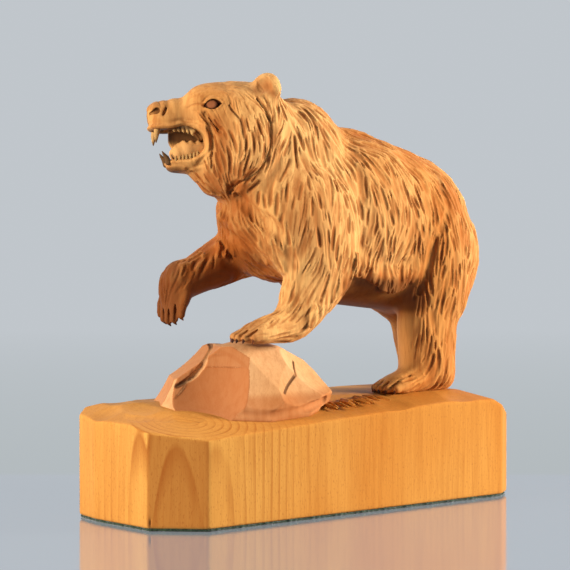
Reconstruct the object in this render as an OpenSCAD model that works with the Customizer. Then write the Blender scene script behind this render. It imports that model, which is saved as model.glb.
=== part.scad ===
// Carved wooden bear standing on a boulder and a hacked-out plinth.
// The bear faces -X, its left flank is on the -Y side, and +Z is up.
// The origin is the centre of the underside.

/* [Plinth] */
// Length of the plinth block
plinth_l = 300; // [280:1:320]
// Width of the plinth block
plinth_w = 118; // [112:1:130]
// Height of the plinth block, felt included, at its highest flat
plinth_h = 74; // [70:0.5:78]
// Leg of the 45 degree cut on the corner at the bear's left front
corner_cut = 27; // [18:1:32]
// Thickness of the felt sheet under the block
felt_t = 1.6; // [1:0.1:3]
// How far the felt stays back from the block's outline
felt_inset = 0.8; // [0.4:0.1:2]

/* [Boulder] */
// Height of the boulder's top above the ground
boulder_top = 112; // [110:0.5:114]

/* [Head] */
// How far the head turns towards the bear's right, in degrees
head_yaw = 28; // [20:1:34]
// How far the head leans towards the bear's right, in degrees
head_roll = 7; // [0:1:10]
// Diameter of the carved eyeball
eye_d = 8; // [6:0.1:9]
// Length of the canine teeth that shows
canine_l = 9; // [6:0.5:10]

/* [Paws] */
// Width of a fore paw
fore_paw_w = 28; // [24:0.5:30]
// Width of a hind paw
hind_paw_w = 28; // [24:0.5:30]
// Length of a claw
claw_l = 7; // [5:0.5:9]
// Thickness of a claw at its root
claw_d = 3.4; // [2.4:0.1:4]

/* [Hidden] */

wood = "#d08a45";
dark_wood = "#4a2a17";
tooth_white = "#ecd9b0";
facets = 20;              // facets of a smooth form
fine_facets = 10;         // facets of a small form
head_c = [-45, 4, 250];   // centre of the skull
hind_sole_z = plinth_h - 1.5;

// Each paw: the middle of its sole under the ankle, how far its toes and its heel reach from
// there, how it is turned, and its width
left_fore_paw = [[-46, -32, boulder_top - 0.5], 32, 19, [0, 0, 0], fore_paw_w];
right_fore_paw = [[-71, 29, 147], 27, 6, [0, -64, 0], fore_paw_w];
left_hind_paw = [[92, -26, hind_sole_z], 41, 25, [0, 0, 0], hind_paw_w];
right_hind_paw = [[125, 12, hind_sole_z], 31, 18, [0, 0, 24], hind_paw_w];

// --- Helpers -------------------------------------------------------------------------------

// An ellipsoid at p with the half axes r
module ball(p, r, n = facets)
    translate(p) scale(r) sphere(1, $fn = n);

// A limb through the points p, with the half axes r at each of them
module limb(p, r, n = facets)
    for (i = [0:len(p) - 2])
        hull() {
            ball(p[i], r[i], n);
            ball(p[i + 1], r[i + 1], n);
        }

// Everything above the plane through p that rises by gx per mm of x and gy per mm of y
module above(p, gx, gy)
    multmatrix([[1, 0, 0, p[0]], [0, 1, 0, p[1]], [gx, gy, 1, p[2]], [0, 0, 0, 1]])
        translate([-400, -400, 0]) cube([800, 800, 200]);

// Puts its children in the head's own frame: -X is forward and the origin is the skull's centre
module in_head()
    translate(head_c) rotate([-head_roll, 0, -head_yaw]) children();

// Puts its children in a paw's frame: -X is towards the toes and the sole is at z = 0
module in_paw(paw)
    translate(paw[0]) rotate(paw[3]) children();

// --- Plinth --------------------------------------------------------------------------------

module footprint() {
    hl = plinth_l / 2;
    hw = plinth_w / 2;
    polygon([
        [-hl + corner_cut, -hw], [hl - 14, -hw], [hl, -hw + 9], [hl, hw - 16],
        [hl - 16, hw], [-hl + 22, hw], [-hl + 5, hw - 12], [-hl, hw - 36], [-hl, -hw + corner_cut]
    ]);
}

module plinth()
    color(wood)
        difference() {
            translate([0, 0, felt_t]) linear_extrude(plinth_h - felt_t) footprint();
            above([-plinth_l / 2, 0, plinth_h - 10], 0.45, 0);
            above([-60, -plinth_w / 2, plinth_h - 14], 0.06, 0.22);
            above([60, -plinth_w / 2, plinth_h - 5], -0.02, 0.25);
            above([plinth_l / 2, 0, plinth_h - 17], -0.5, 0);
            above([0, plinth_w / 2, plinth_h - 6], 0, -0.3);
            // hollow along the front edge under the boulder
            translate([-62, -plinth_w, plinth_h + 100]) rotate([-82, 0, 0])
                cylinder(r = 104, h = 100, $fn = 96);
        }

module plinth_felt()
    color("darkgreen")
        linear_extrude(felt_t) offset(delta = -felt_inset) footprint();

// --- Boulder -------------------------------------------------------------------------------

module boulder_form() {
    foot = plinth_h - 12;
    // main lump
    hull() {
        ball([-48, -10, foot], [51, 38, 10], fine_facets);
        ball([-41, -14, foot + 16], [48, 37, 11], fine_facets);
        ball([-39, -8, foot + 29], [39, 32, 12], fine_facets);
        ball([-54, -10, boulder_top - 9], [28, 22, 9], fine_facets);
    }
    // slab that leans on it at the front
    hull() {
        ball([-86, 10, foot], [29, 27, 9], fine_facets);
        ball([-82, 10, foot + 22], [19, 24, 12], fine_facets);
        ball([-66, 6, boulder_top - 10], [11, 20, 8], fine_facets);
    }
}

module boulder()
    color(wood)
        difference() {
            boulder_form();
            plinth();
        }

// --- Torso ---------------------------------------------------------------------------------

module torso_form() {
    ball([-4, 0, 228], [38, 31, 44]);            // hump over the shoulders
    ball([-18, 0, 199], [41, 42, 50]);           // chest and shoulders
    ball([46, 0, 193], [68, 47, 57]);            // barrel
    ball([74, 0, 189], [54, 45, 55]);            // loin
    ball([93, 0, 182], [55, 46, 56]);            // rump
    ball([-30, -22, 190], [22, 22, 32]);         // left shoulder point
    ball([-20, 20, 188], [24, 22, 34]);          // right shoulder point
    limb([[-12, 0, 224], [-30, 3, 236]], [[38, 33, 40], [28, 32, 36]]);      // neck
    limb([[-34, 3, 208], [-32, 1, 190]], [[22, 26, 24], [27, 27, 24]]);      // throat and brisket
    limb([[104, -16, 168], [102, -24, 146]], [[43, 31, 44], [31, 21, 34]]);  // left haunch
    limb([[104, 14, 168], [120, 16, 144]], [[43, 31, 44], [26, 18, 30]]);    // right haunch
    limb([[-14, -30, 194], [-10, -32, 164]], [[30, 19, 32], [28, 17, 24]]);  // left shoulder
    limb([[-8, 28, 192], [-18, 28, 174]], [[28, 18, 28], [24, 16, 20]]);     // right shoulder
    limb([[20, 0, 162], [74, 0, 156]], [[32, 34, 26], [30, 34, 26]]);        // belly
}

module torso()
    color(wood)
        difference() {
            torso_form();
            head_form();
        }

module tail()
    color(wood)
        difference() {
            hull() {
                ball([139, 0, 205], [7, 7, 7], fine_facets);
                ball([143, 0, 192], [6, 6, 8], fine_facets);
            }
            torso_form();
        }

// --- Head ----------------------------------------------------------------------------------

module head_form()
    in_head() {
        ball([2, 0, 1], [31, 29, 29]);                                           // cranium
        limb([[0, -14, -12], [-6, -11, -26]], [[25, 18, 24], [22, 18, 19]]);     // left cheek
        limb([[0, 14, -12], [-6, 11, -26]], [[25, 18, 24], [22, 18, 19]]);       // right cheek
        limb([[-12, 0, 5], [-29, 0, 9]], [[20, 25, 25], [13, 15, 15.5]]);        // brow
        limb([[-26, 0, 6], [-44, 0, 9], [-54, 0, 9]],                            // muzzle
             [[14, 15, 13], [12, 11.5, 10], [8, 9.5, 8.5]]);
        ball([-53, 0, 5], [8.5, 10, 6.5]);                                       // upper lip
    }

module mouth_gap()
    in_head() {
        // the gape, from one side of the muzzle to the other
        hull() {
            ball([-33, 0, -8], [5, 24, 3]);
            ball([-32.5, 0, -15.5], [5, 24, 4]);
            ball([-70, 0, -5], [4, 24, 3.5]);
            ball([-70, 0, -17], [4, 24, 4]);
        }
        // the throat behind it
        ball([-28, 0, -12], [12, 10, 8]);
    }

module head()
    color(wood)
        difference() {
            head_form();
            mouth_gap();
            lower_jaw_form();
            tongue_form();
            upper_teeth_form();
            nose_form();
            for (side = [-1, 1]) {
                eye_form(side);
                ear_form(side);
            }
        }

module lower_jaw_form()
    in_head()
        limb([[-22, 0, -23], [-34, 0, -24.3], [-46, 0, -24]],
             [[14, 15, 6], [12, 11, 4.4], [6.5, 8.5, 4.2]]);

module lower_jaw()
    color(wood)
        difference() {
            lower_jaw_form();
            tongue_form();
            lower_teeth_form();
        }

module tongue_form()
    in_head()
        limb([[-26, 0, -16], [-34, 0, -14.8], [-41, 0, -17]],
             [[7, 7.5, 4.5], [7, 7, 5], [5, 5.5, 3]], fine_facets);

module tongue() color("indianred") tongue_form();

// A pointed tooth of diameter d and length l that stands on p, up (1) or down (-1)
module tooth(p, d, l, up)
    translate(p) rotate([up > 0 ? 0 : 180, 0, 0]) cylinder(d1 = d, d2 = 0.7, h = l, $fn = 14);

module upper_teeth_form()
    in_head()
        for (side = [-1, 1]) {
            for (i = [0:4])
                tooth([3.5 * i - 48, side * (9 + 0.5 * i), -0.6 - 0.8 * i], 3.2, 4, -1);
            tooth([-56.5, side * 6.3, -0.5], 4.2, canine_l + 1.2, -1);
        }

module upper_teeth() color(tooth_white) upper_teeth_form();

module lower_teeth_form()
    in_head()
        for (side = [-1, 1]) {
            for (i = [0:3])
                tooth([3.5 * i - 44, side * (8 + 0.5 * i), -21.5], 3.2, 4, 1);
            tooth([-50, side * 5.6, -23], 3.8, canine_l - 1.5, 1);
        }

module lower_teeth() color(tooth_white) lower_teeth_form();

module nose_form()
    in_head() ball([-59.5, 0, 12], [5, 8, 5.5], fine_facets);

module nose_pad() color("saddlebrown") nose_form();

// side is -1 on the bear's left and 1 on its right
module eye_form(side)
    in_head() translate([-22, side * 16.6, 12.3]) sphere(d = eye_d, $fn = 20);

module left_eye() color(dark_wood) eye_form(-1);
module right_eye() color(dark_wood) eye_form(1);

module ear_form(side)
    in_head()
        difference() {
            translate([13, side * 19, 23]) rotate([0, 0, -side * 45])
                scale([0.55, 1, 1]) sphere(9.6, $fn = fine_facets + 4);
            // cup of the ear
            translate([8.5, side * 24, 24.5]) sphere(6, $fn = fine_facets);
        }

module left_ear() color(wood) ear_form(-1);
module right_ear() color(wood) ear_form(1);

// --- Legs and paws -------------------------------------------------------------------------

// The way across the paw and the reach of toe number i, from -2 to 2
function toe_y(paw, i) = i * paw[4] / 5.2;
function toe_x(paw, i) = -paw[1] + 1.1 * i * i;

module foot_form(paw) {
    half_w = paw[4] / 2;
    in_paw(paw) {
        limb([[-paw[1] + 17, 0, 7], [0, 0, 10], [paw[2] - 9, 0, 8]],
             [[11, half_w, 7], [14, half_w - 1, 10], [9, half_w - 3, 8]]);
        for (i = [-2:2])
            ball([toe_x(paw, i) + 9, toe_y(paw, i), 5.5], [9, paw[4] / 9.4, 5.5], fine_facets);
    }
}

module claws_form(paw)
    in_paw(paw)
        for (i = [-2:2])
            hull() {
                ball([toe_x(paw, i) + 3.5, toe_y(paw, i), 5.5], [1, 1, 1] * claw_d / 2, fine_facets);
                ball([toe_x(paw, i) + 3.5 - claw_l, toe_y(paw, i), 1], [0.6, 0.6, 0.6], fine_facets);
            }

module left_foreleg_form() {
    limb([[-8, -32, 166], [-11, -32, 150], [-24, -32, 133], [-35, -32, 121]],
         [[28, 17, 20], [27, 16, 15], [18.5, 14.5, 12], [12, 13, 10]]);
    foot_form(left_fore_paw);
}

module right_foreleg_form() {
    limb([[-22, 30, 170], [-42, 29, 163], [-62, 28, 156], [-77, 29, 149]],
         [[24, 16, 18], [20, 15, 16], [14, 13, 13], [12, 12.5, 11]]);
    foot_form(right_fore_paw);
}

module left_hind_leg_form() {
    limb([[100, -25, 140], [96, -26, 122], [95, -26, 100], [97, -26, 84]],
         [[27, 17, 26], [26, 16, 18], [22.5, 15.5, 16], [22, 14.5, 12]]);
    foot_form(left_hind_paw);
}

module right_hind_leg_form() {
    limb([[121, 16, 140], [122, 14, 120], [125, 12, 100], [127, 12, 84]],
         [[24, 16, 24], [20, 15, 18], [17.5, 14, 16], [17, 13, 12]]);
    foot_form(right_hind_paw);
}

module left_foreleg()
    color(wood)
        difference() {
            left_foreleg_form();
            torso_form();
            boulder_form();
            claws_form(left_fore_paw);
        }

module right_foreleg()
    color(wood)
        difference() {
            right_foreleg_form();
            torso_form();
            claws_form(right_fore_paw);
        }

module left_hind_leg()
    color(wood)
        difference() {
            left_hind_leg_form();
            torso_form();
            plinth();
            claws_form(left_hind_paw);
        }

module right_hind_leg()
    color(wood)
        difference() {
            right_hind_leg_form();
            torso_form();
            plinth();
            claws_form(right_hind_paw);
        }

module left_fore_claws() color(dark_wood) difference() { claws_form(left_fore_paw); boulder_form(); }
module right_fore_claws() color(dark_wood) claws_form(right_fore_paw);
module left_hind_claws() color(dark_wood) difference() { claws_form(left_hind_paw); plinth(); }
module right_hind_claws() color(dark_wood) difference() { claws_form(right_hind_paw); plinth(); }

plinth();
plinth_felt();
boulder();
torso();
head();
lower_jaw();
tongue();
upper_teeth();
lower_teeth();
nose_pad();
left_eye();
right_eye();
left_ear();
right_ear();
left_foreleg();
right_foreleg();
left_hind_leg();
right_hind_leg();
left_fore_claws();
right_fore_claws();
left_hind_claws();
right_hind_claws();
tail();
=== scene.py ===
"""A carved wooden bear on a boulder and a rough-hewn plinth.

The bear is sculpted as a signed distance field on voxels. The field starts from the CAD nodes,
so every place comes from the frame. It is blended into one flowing body, carved with features
and hair strokes, and then divided again into one closed piece for each CAD node.
"""

import math
import time

import bpy
import numpy as np
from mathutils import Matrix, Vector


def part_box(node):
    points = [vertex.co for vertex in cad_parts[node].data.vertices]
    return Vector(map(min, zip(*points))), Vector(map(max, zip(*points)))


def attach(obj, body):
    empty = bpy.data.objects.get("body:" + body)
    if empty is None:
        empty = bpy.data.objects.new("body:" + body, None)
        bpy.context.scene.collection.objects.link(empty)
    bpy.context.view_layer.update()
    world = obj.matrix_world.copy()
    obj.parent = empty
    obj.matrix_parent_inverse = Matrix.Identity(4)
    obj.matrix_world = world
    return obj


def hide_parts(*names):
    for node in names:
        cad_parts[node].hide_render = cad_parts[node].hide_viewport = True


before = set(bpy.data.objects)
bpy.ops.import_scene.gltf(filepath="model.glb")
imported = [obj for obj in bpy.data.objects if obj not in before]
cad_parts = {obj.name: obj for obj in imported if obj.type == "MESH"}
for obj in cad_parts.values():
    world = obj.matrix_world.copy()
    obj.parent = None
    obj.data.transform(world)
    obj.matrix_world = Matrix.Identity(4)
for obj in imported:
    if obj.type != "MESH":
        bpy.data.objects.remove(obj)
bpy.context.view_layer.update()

import openvdb as vdb
from mathutils import Vector

MM = 0.001
START = time.time()
rng = np.random.default_rng(597)

# Voxel sizes and distances below are in millimetres, because the sculpting works in them.
COARSE = 1.5                        # voxels of the CAD solids and of the blended body
BODY_STEP = 0.62  # voxels of the carved body
FACE_STEP = 0.42  # voxels of the carved head
TRIM_STEP = 0.28  # voxels of teeth, tongue, nose, eyes and claws
PLINTH_STEP = 0.85
BOULDER_STEP = 0.6
FELT_STEP = 0.8
SWELL = 0.7                         # how far the blended body is let out, since blending shrinks it
BAND = 20                           # how far from its surface a CAD solid's distance is known
SKIN = 3.0                          # how far from its surface a carved field is kept

YAW, PITCH = math.radians(40.7), math.radians(1.4)   # which way the camera looks

BEAR = ["torso", "head", "lower_jaw", "left_ear", "right_ear", "left_foreleg",
        "right_foreleg", "left_hind_leg", "right_hind_leg", "tail"]


def note(text):
    print(f"[{time.time() - START:6.1f} s] {text}", flush=True)


def box_mm(node):
    """The node's lowest and highest corners in millimetres."""
    low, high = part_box(node)
    return np.array(low) / MM, np.array(high) / MM


def centre_mm(node):
    low, high = box_mm(node)
    return (low + high) / 2


# --- Volumes ---------------------------------------------------------------------------------

class Volume:
    """A box of voxels. field is a distance in mm, negative in the wood."""

    def __init__(self, low, high, step):
        self.step = step
        self.first = np.floor(np.array(low) / step).astype(int)
        self.shape = tuple(np.ceil(np.array(high) / step).astype(int) - self.first + 1)
        axes = [((first + np.arange(count)) * step).astype(np.float32)
                for first, count in zip(self.first, self.shape)]
        self.x = axes[0][:, None, None]
        self.y = axes[1][None, :, None]
        self.z = axes[2][None, None, :]
        self.axes = axes
        self.field = None

    def corners(self):
        return [axis[0] for axis in self.axes], [axis[-1] for axis in self.axes]

    def window(self, low, high):
        """Slices of the voxels between two corners, or None if none are there."""
        a = np.ceil(np.array(low) / self.step).astype(int) - self.first
        b = np.floor(np.array(high) / self.step).astype(int) - self.first + 1
        a = np.maximum(a, 0)
        b = np.minimum(b, self.shape)
        if np.any(b <= a):
            return None
        return tuple(slice(i, j) for i, j in zip(a, b))

    def spread(self, coarse, values):
        """values on the coarse volume, interpolated onto this one."""
        out = values
        for axis in range(3):
            at = self.axes[axis] / coarse.step - coarse.first[axis]
            at = np.clip(at, 0, coarse.shape[axis] - 1.001)
            low = at.astype(int)
            part = (at - low).astype(np.float32)
            shape = [1, 1, 1]
            shape[axis] = -1
            part = part.reshape(shape)
            below, above = np.take(out, low, axis=axis), np.take(out, low + 1, axis=axis)
            out = below * (1 - part) + above * part
        return out


def sample(volume, values, points):
    """values of the volume at points (n, 3), by linear interpolation."""
    at = points / volume.step - volume.first
    at = np.clip(at, 0, np.array(volume.shape) - 1.001)
    low = at.astype(int)
    part = at - low
    total = np.zeros(len(points))
    for corner in range(8):
        bits = np.array([corner >> 2 & 1, corner >> 1 & 1, corner & 1])
        weight = np.prod(np.where(bits, part, 1 - part), axis=1)
        i, j, k = (low + bits).T
        total += weight * values[i, j, k]
    return total


def normals_at(volume, values, points, reach=1.2):
    """The surface's outward directions at points, from values reach mm to either side."""
    grad = np.zeros((len(points), 3))
    for axis in range(3):
        offset = np.zeros(3)
        offset[axis] = reach
        ahead, behind = sample(volume, values, points + offset), sample(volume, values, points - offset)
        grad[:, axis] = ahead - behind
    return grad / np.maximum(np.linalg.norm(grad, axis=1, keepdims=True), 1e-6)


def blur(values, sigma):
    """A Gaussian blur of sigma voxels along each axis."""
    reach = int(math.ceil(2.5 * sigma))
    weights = np.exp(-0.5 * (np.arange(-reach, reach + 1) / sigma) ** 2)
    weights /= weights.sum()
    out = values
    for axis in range(3):
        pad = [(0, 0)] * 3
        pad[axis] = (reach, reach)
        padded = np.pad(out, pad, mode="edge")
        total = 0
        for k, weight in enumerate(weights):
            cut = [slice(None)] * 3
            cut[axis] = slice(k, k + out.shape[axis])
            total = total + np.float32(weight) * padded[tuple(cut)]
        out = total
    return out


def smin(a, b, k):
    """The lesser of two distances, rounded over k mm where they meet."""
    h = np.maximum(k - np.abs(a - b), 0) / k
    return np.minimum(a, b) - h * h * k * 0.25


def smax(a, b, k):
    """The greater of two distances, rounded over k mm where they meet."""
    h = np.maximum(k - np.abs(a - b), 0) / k
    return np.maximum(a, b) + h * h * k * 0.25


def ramp(x, low, high):
    """0 below low, 1 above high, smooth between."""
    t = np.clip((x - low) / (high - low), 0, 1)
    return t * t * (3 - 2 * t)


def bump(x, width):
    """1 at 0, falling to nothing about two widths away."""
    return np.exp(-(x / width) ** 2)


def solid_of(node, volume, band=BAND):
    """The distance to a CAD node's surface on every voxel of the volume."""
    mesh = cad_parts[node].data
    mesh.calc_loop_triangles()
    points = np.empty(len(mesh.vertices) * 3, np.float32)
    mesh.vertices.foreach_get("co", points)
    faces = np.empty(len(mesh.loop_triangles) * 3, np.int32)
    mesh.loop_triangles.foreach_get("vertices", faces)
    points = points.reshape(-1, 3) / MM
    transform = vdb.createLinearTransform(voxelSize=volume.step)
    grid = vdb.FloatGrid.createLevelSetFromPolygons(
        points, triangles=faces.reshape(-1, 3), transform=transform, halfWidth=band / volume.step)
    out = np.empty(volume.shape, np.float32)
    grid.copyToArray(out, ijk=tuple(int(i) for i in volume.first))
    return out


boxes = np.array([box_mm(name) for name in BEAR])
coarse = Volume(boxes[:, 0].min(axis=0) - 12, boxes[:, 1].max(axis=0) + 12, COARSE)
solids = {name: solid_of(name, coarse) for name in BEAR}
base = blur(np.minimum.reduce(list(solids.values())), 2.2)
note(f"CAD solids {coarse.shape}")


# --- The head's own frame --------------------------------------------------------------------
# ahead is towards the nose, side is the distance from the middle plane, and up is towards the
# crown, all in mm from the centre of the skull.

EYE_AT = (22.0, 16.6, 12.3)        # where the eyes lie in this frame: ahead, side, up
eye_left, eye_right = centre_mm("left_eye"), centre_mm("right_eye")
between_eyes = (eye_left + eye_right) / 2
SIDE = (eye_right - eye_left) / np.linalg.norm(eye_right - eye_left)
AHEAD = centre_mm("nose_pad") - between_eyes
AHEAD -= SIDE * (AHEAD @ SIDE)
AHEAD /= np.linalg.norm(AHEAD)
UP = np.cross(SIDE, AHEAD)
SKULL = between_eyes - AHEAD * EYE_AT[0] - UP * EYE_AT[2]


def from_head(ahead, side, up):
    """A point of the head's frame in the row's frame, in mm."""
    return SKULL + AHEAD * ahead + SIDE * side + UP * up


def in_head(points):
    """Points in the head's frame: ahead, |side|, up."""
    q = points - SKULL
    return q @ AHEAD, np.abs(q @ SIDE), q @ UP


def world_axes(volume, cut):
    return volume.x[cut[0]], volume.y[:, cut[1]], volume.z[:, :, cut[2]]


def head_axes(volume, cut=(slice(None),) * 3):
    """ahead, |side| and up on the volume or on a window of it."""
    x, y, z = (at - middle for at, middle in zip(world_axes(volume, cut), SKULL))
    ahead, side, up = [(x * axis[0] + y * axis[1] + z * axis[2]).astype(np.float32)
                       for axis in (AHEAD, SIDE, UP)]
    return ahead, np.abs(side), up


def egg(p, centre, radii):
    """The distance to an ellipsoid, near enough close to its surface."""
    q = [a - c for a, c in zip(p, centre)]
    k0 = np.sqrt(sum((a / r) ** 2 for a, r in zip(q, radii)))
    k1 = np.sqrt(sum((a / (r * r)) ** 2 for a, r in zip(q, radii)))
    return k0 * (k0 - 1) / np.maximum(k1, 1e-6)


def rod(p, points, radii):
    """The distance to a chain of tapered rods through the points."""
    out = None
    for a, b, ra, rb in zip(points[:-1], points[1:], radii[:-1], radii[1:]):
        along = [v - u for u, v in zip(a, b)]
        length = sum(v * v for v in along)
        t = np.clip(sum((c - u) * v for c, u, v in zip(p, a, along)) / length, 0, 1)
        gap = np.sqrt(sum((c - u - t * v) ** 2 for c, u, v in zip(p, a, along)))
        d = gap - (ra + (rb - ra) * t)
        out = d if out is None else np.minimum(out, d)
    return out


def smooth_path(points, parts=4):
    """The points with a curve through them, as a Catmull-Rom spline."""
    ends = np.array([points[0], *points, points[-1]], float)
    out = [ends[1]]
    for a, b, c, d in zip(ends[:-3], ends[1:-2], ends[2:-1], ends[3:]):
        for step in range(1, parts + 1):
            t = step / parts
            out.append(0.5 * (2 * b + (c - a) * t + (2 * a - 5 * b + 4 * c - d) * t * t
                              + (3 * b - a - 3 * c + d) * t ** 3))
    return out


def gape_of(p):
    """Inside the open mouth, seen from the side: negative between the lips."""
    ahead, _, up = p
    back = (np.hypot((ahead - 37.0) / 9.0, (up + 11.4) / 9.6) - 1) * 9.2
    top = up - (-1.9 - 0.02 * (60 - ahead) + 1.7 * bump(ahead - 42, 4.5))
    bottom = -21.2 - up
    front = np.maximum(np.maximum(top, bottom), 37.0 - ahead)
    return smin(back, front, 2.5)


def almond_of(p):
    """Inside the opening of the eyelids, seen from the side: negative between the lids."""
    ahead, _, up = p
    t = (ahead - 23.3) / 5.5
    half = 1 - t * t
    middle = EYE_AT[2] - 0.4 - 0.4 * t
    return np.maximum(up - (middle + 3.2 * half), (middle - 2.9 * half) - up)


def ear_axes(p):
    """Ahead of the ear's disc and across it. The disc faces forward and outward."""
    ahead, side, _ = p
    return (ahead + 13) * 0.66 + (side - 19) * 0.75, (side - 19) * 0.66 - (ahead + 13) * 0.75


def head_form(p):
    """The carved head, from the neck's ruff forward, without its mouth, nose and eyes."""
    ahead, _, up = p
    d = smin(egg(p, (-2, 0, 0), (31, 28, 28.5)), egg(p, (15, 0, 8), (24, 22, 22.4)), 6)     # skull
    d = smin(d, egg(p, (26.5, 8.6, 15.5), (12.4, 10.4, 11.2)), 6)                           # forehead
    d = smin(d, rod(p, [(31, 5.5, 16.5), (27, 13, 17), (18, 18, 17)], [5, 5, 4]), 5)        # brow ridge
    d = smin(d, egg(p, (13, 15, 2), (16, 9, 11)), 6)                                        # cheekbone
    d = smin(d, egg(p, (0, 13, -13), (26, 16, 24)), 5)                                      # cheek
    d = smin(d, egg(p, (5, 9, -27), (23, 15, 16)), 6)                                       # jowl
    d = smin(d, rod(p, [(33, 0, -24), (19, 0, -32), (8, 0, -33)], [7.5, 13, 15]), 5)        # throat
    muzzle = rod(p, [(24, 0, 5.5), (44, 0, 8.2), (54, 0, 8.2)], [13.5, 10.6, 8.9])
    muzzle = smin(muzzle, rod(p, [(30, 4, 13.2), (50, 3.5, 12.8)], [4.8, 4.6]), 5)          # flat bridge
    muzzle = smin(muzzle, egg(p, (49, 5.5, 2), (12, 6.3, 6.5)), 3)                          # flews
    muzzle = smin(muzzle, egg(p, (55.5, 0, 2.6), (6.8, 8, 5.6)), 2)                         # front lip
    muzzle = muzzle + 0.8 * bump(ahead - 50.2, 2.2) * ramp(up, 9, 13)                       # behind the nose
    d = smin(d, muzzle, 5)
    jaw = rod(p, [(20, 10, -21), (35, 7.5, -24), (46, 2.5, -24)], [6.5, 4.6, 4.4])
    d = smin(d, jaw, 3)
    d = smin(d, egg(p, (36, 0, -25.5), (16, 9, 3.4)), 2)                                    # chin floor
    facing, across = ear_axes(p)
    d = smin(d, egg((facing, across, up - 22.6), (0, 0, 0), (5.0, 9.4, 9.9)), 3.5)
    cup = egg((facing, across, up - 23.6), (5.2, 0.4, 0), (5.0, 6.3, 6.6))
    return smax(d, -cup, 1.2)


NOSTRIL = [(61.2, 4.4, 8.6), (57.4, 7.2, 10.0)]
NOSE_WING = [(53.6, 8.9, 6.6), (52.2, 8.9, 9.6), (51.2, 7.8, 12.6)]
EYE_CORNER = [(18.6, 19, 11.6), (14.6, 21.5, 11.9)]
# Lines on the face, seen from the side: the muzzle's rim as up and ahead, the rest as ahead and up
MUZZLE_RIM = [(-29.5, 25.6), (-22.6, 25.4), (-15.8, 24.6), (-9.4, 24.6), (-4, 25.9), (0.6, 27.6),
              (6.9, 30.7)]
EYE_LINES = [[(27.6, 7.0), (24.2, 1.8), (20.2, -4.6)], [(25.0, 3.4), (21.9, -1.6), (18.4, -6.4)],
             [(12.6, 10.4), (10.4, 6.6), (7.5, 2.0)]]
JAW_LINE = [(38.5, -27.8), (32.3, -26.3), (27.7, -24.9), (25.3, -21.7)]
RUFF_LINE = smooth_path([(-5, 15), (-12, 3), (-13, -8), (-11, -20), (-6, -30), (4, -37), (13, -43)])


def side_gap(p, path):
    """How far a point is from a line on the face, seen from the side."""
    ahead, _, up = p
    return rod((ahead, 0 * ahead, up), [(a, 0, u) for a, u in path], [0] * len(path))


def behind_rim(p):
    """How far back a point is from the smooth muzzle's rim."""
    ahead, _, up = p
    return np.interp(up, *zip(*MUZZLE_RIM)).astype(ahead.dtype) - ahead


def rim_part(p):
    """1 beside the muzzle's rim, less towards its ends and towards the middle of the face."""
    _, side, up = p
    return ramp(up, -34, -27) * ramp(9 - up, 0, 4) * ramp(side, 7, 11)


def carve_face(p, d):
    """Mouth, nose, eyes and creases cut into the head."""
    ahead, side, up = p
    gape = gape_of(p)
    lips = ramp(ahead, 20, 26)
    d = d - lips * 1.1 * bump(gape - 1.6, 1.3) + lips * 0.6 * bump(gape - 4.2, 1.1)
    d = smax(d, -np.maximum(gape, 18 - ahead), 0.7)
    d = smax(d, -egg(p, (29, 0, -11.5), (18, 9.6, 8.4)), 1.0)                               # mouth
    d = smax(d, -egg(p, (44, 0, -1.5), (14, 6.6, 4.2)), 1.0)                                # palate
    d = smax(d, -egg(p, (36, 0, -20), (13, 5.6, 2.6)), 0.8)                                 # jaw's hollow
    # the mouth is cut in from either side and the front, and a wall is left between the pockets
    front = 49.2 - 0.08 * np.maximum(-8 - up, 0) ** 2
    wall = np.maximum(np.maximum(side - 2.0, ahead - front), np.abs(up + 9.5) - 11.5)
    d = smin(d, wall, 1.5)
    d = smax(d, -rod(p, NOSTRIL, [0.9, 2.1]), 0.5)
    d = smax(d, -rod(p, NOSE_WING, [0.7, 1.2, 0.5]), 0.6)
    d = smax(d, -rod(p, [(64, 0, 8), (62.8, 0, 0)], [1.2, 1.0]), 0.4)                       # philtrum
    almond = almond_of(p)
    outside = ramp(side, 9, 12)
    d = d - outside * 0.7 * bump(almond - 1.0, 0.9)                          # rims of the lids
    d = d + outside * 0.6 * bump(almond - 3.0, 0.9) * ramp(up, 12, 15)       # fold over the upper lid
    d = d + outside * 1.3 * ramp(-almond, -0.35, 0.35)                       # socket
    d = smax(d, -rod(p, EYE_CORNER, [0.5, 0.2]), 0.8)
    # the smooth muzzle ends in a rim, and the cheek's hair starts in a hollow behind it
    behind = behind_rim(p)
    rim = 1.7 * bump(behind - 1.8, 1.3) - 1.1 * bump(behind + 1.4, 1.6) + 0.5 * bump(behind - 7, 3.5)
    d = d + rim_part(p) * rim
    for path in EYE_LINES:
        d = d + 1.5 * bump(side_gap(p, path), 0.8) * ramp(side, 7, 10)
    return d + 0.8 * bump(side_gap(p, JAW_LINE), 1.3) * ramp(side, 5, 8)


# painted shadow in the nostrils
def nostril_painted_shadow(p):
    return 0.9 * (1 - ramp(rod(p, NOSTRIL, [0.2, 1.9]), 0, 1))


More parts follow.
